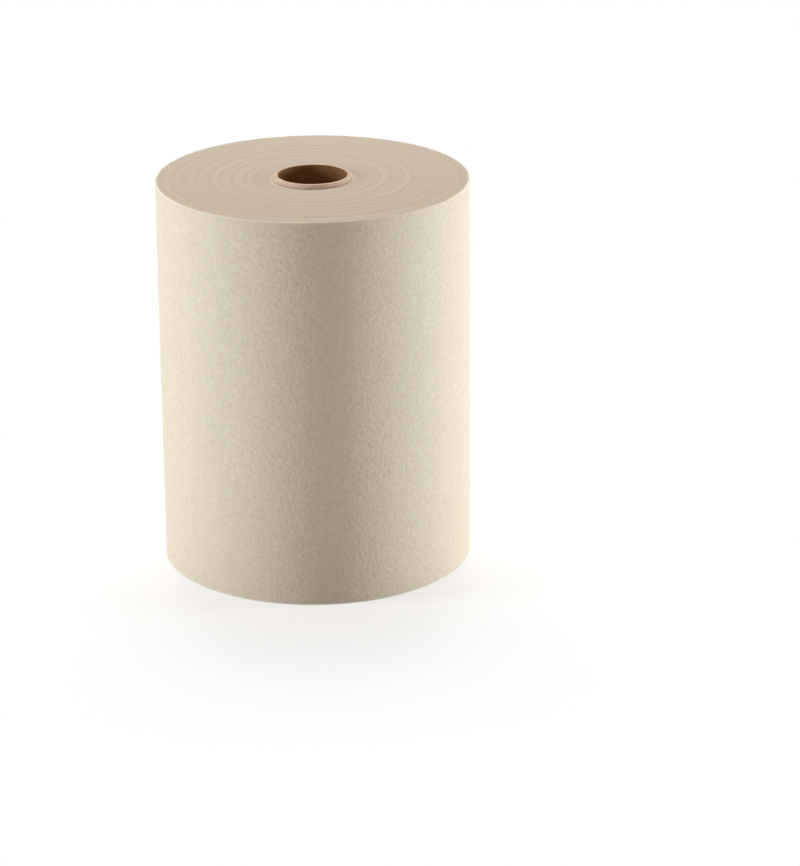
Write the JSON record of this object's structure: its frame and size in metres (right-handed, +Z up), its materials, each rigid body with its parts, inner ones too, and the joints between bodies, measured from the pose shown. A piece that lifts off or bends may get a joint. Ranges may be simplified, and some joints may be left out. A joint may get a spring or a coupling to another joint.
{
  "type": "paper towel roll",
  "caption": "Upright cylindrical roll of unbleached paper towel, wound on a paperboard core that stands slightly out of its upper end.",
  "frame": {"origin": "on the core's axis, in the plane that the roll stands on", "axes": "+Z up along the core, towards the end that the core stands out of; -Y is the front, and the tail ends the last turn at the back"},
  "size_m": [0.2012, 0.2012, 0.2564],
  "materials": {
    "towel_paper": "matt, finely creped unbleached towel paper, pinker and darker on the cut ends",
    "core_board": "matt spirally wound kraft paperboard, paler on the cut rim"
  },
  "bodies": {
    "root": {"towel_web": "towel_paper", "core_tube": "core_board"}
  },
  "joints": []
}
